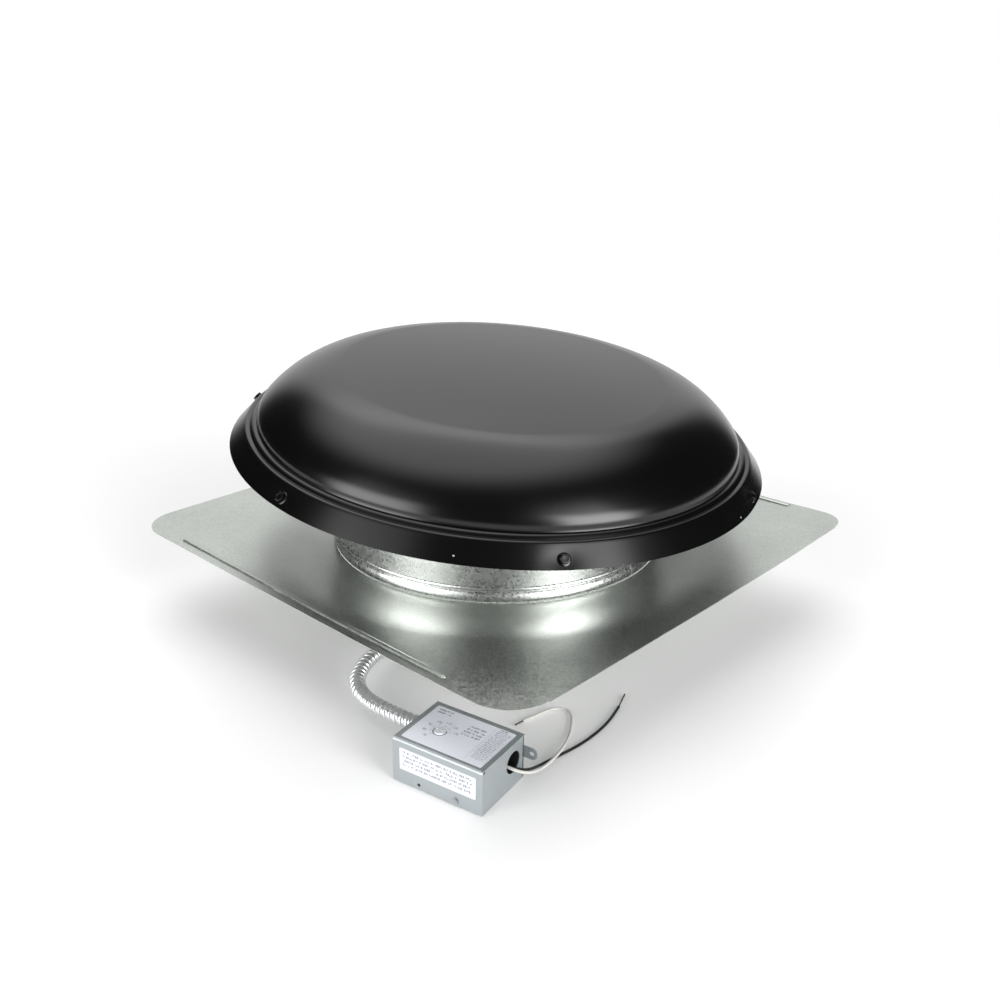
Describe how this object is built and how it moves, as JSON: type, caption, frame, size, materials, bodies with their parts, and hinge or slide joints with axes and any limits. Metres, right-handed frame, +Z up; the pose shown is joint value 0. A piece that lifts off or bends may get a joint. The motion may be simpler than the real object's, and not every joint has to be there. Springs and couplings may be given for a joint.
{
  "type": "attic ventilator",
  "caption": "Roof-mount powered attic ventilator: tilted dome over a throat with a motor-driven fan on square flashing, and a thermostat junction box on flexible conduit.",
  "frame": {"origin": "centre of the throat, on the underside plane of the flashing", "axes": "+Z up through the dome, square to the roof; +X up the roof slope, the dome's low side; +Y completes the right hand"},
  "size_m": [0.6096, 0.6364, 0.3113],
  "materials": {
    "black_paint": "satin black powder coat",
    "galvanised_steel": "spangled galvanised",
    "aluminium": "mill",
    "motor_paint": "satin",
    "bronze": "sintered",
    "steel": "ground",
    "cast_zinc": "die cast",
    "winding_copper": "varnished",
    "label": "matt film",
    "brown_phenolic": "moulded",
    "terminal_brass": "plain",
    "dial_plastic": "moulded",
    "white_insulation": "PVC",
    "black_insulation": "PVC",
    "bare_copper": "stranded"
  },
  "bodies": {
    "housing": {"dome": "black_paint", "dome_screws": "black_paint", "dome_bracket_1": "galvanised_steel", "dome_bracket_2": "galvanised_steel", "dome_bracket_3": "galvanised_steel", "dome_bracket_4": "galvanised_steel", "dome_bracket_5": "galvanised_steel", "dome_bracket_6": "galvanised_steel", "bracket_rivets": "aluminium", "bird_screen": "galvanised_steel", "flashing": "galvanised_steel", "throat_ring": "galvanised_steel", "throat_splice": "galvanised_steel", "splice_rivets": "aluminium", "motor_arm_1": "galvanised_steel", "motor_arm_2": "galvanised_steel", "motor_arm_3": "galvanised_steel", "motor_arm_4": "galvanised_steel", "arm_rivets": "aluminium", "motor_upper_shell": "motor_paint", "motor_lower_shell": "motor_paint", "upper_bearing": "bronze", "lower_bearing": "bronze", "stator_core": "steel", "stator_windings": "winding_copper", "motor_bolts": "galvanised_steel", "motor_nuts": "galvanised_steel", "motor_connector": "cast_zinc", "motor_locknut": "cast_zinc", "conduit": "galvanised_steel", "box_connector": "cast_zinc", "box_locknut": "cast_zinc", "box_base": "galvanised_steel", "box_cover": "galvanised_steel", "cover_screw": "galvanised_steel", "ground_screw": "galvanised_steel", "top_label": "label", "front_label": "label", "thermostat_body": "brown_phenolic", "thermostat_terminals": "terminal_brass", "white_lead": "white_insulation", "black_lead": "black_insulation", "white_lead_strands": "bare_copper", "black_lead_strands": "bare_copper"},
    "rotor": {"motor_shaft": "steel", "rotor_core": "steel", "rotor_end_rings": "cast_zinc", "thrust_collars": "steel", "fan_hub": "cast_zinc", "set_screw": "steel", "fan_spider": "aluminium", "fan_blade_1": "aluminium", "fan_blade_2": "aluminium", "fan_blade_3": "aluminium", "fan_blade_4": "aluminium", "blade_rivets": "aluminium"},
    "dial": {"thermostat_dial": "dial_plastic"}
  },
  "joints": [
    {"name": "fan_spin", "type": "hinge", "parent": "housing", "child": "rotor", "pos_m": [0, 0, 0], "axis": [0, 0, 1], "continuous": true},
    {"name": "dial_turn", "type": "hinge", "parent": "housing", "child": "dial", "pos_m": [0.20503, -0.29458, -0.057], "axis": [0, 0, 1], "range_deg": [-135, 135]}
  ]
}
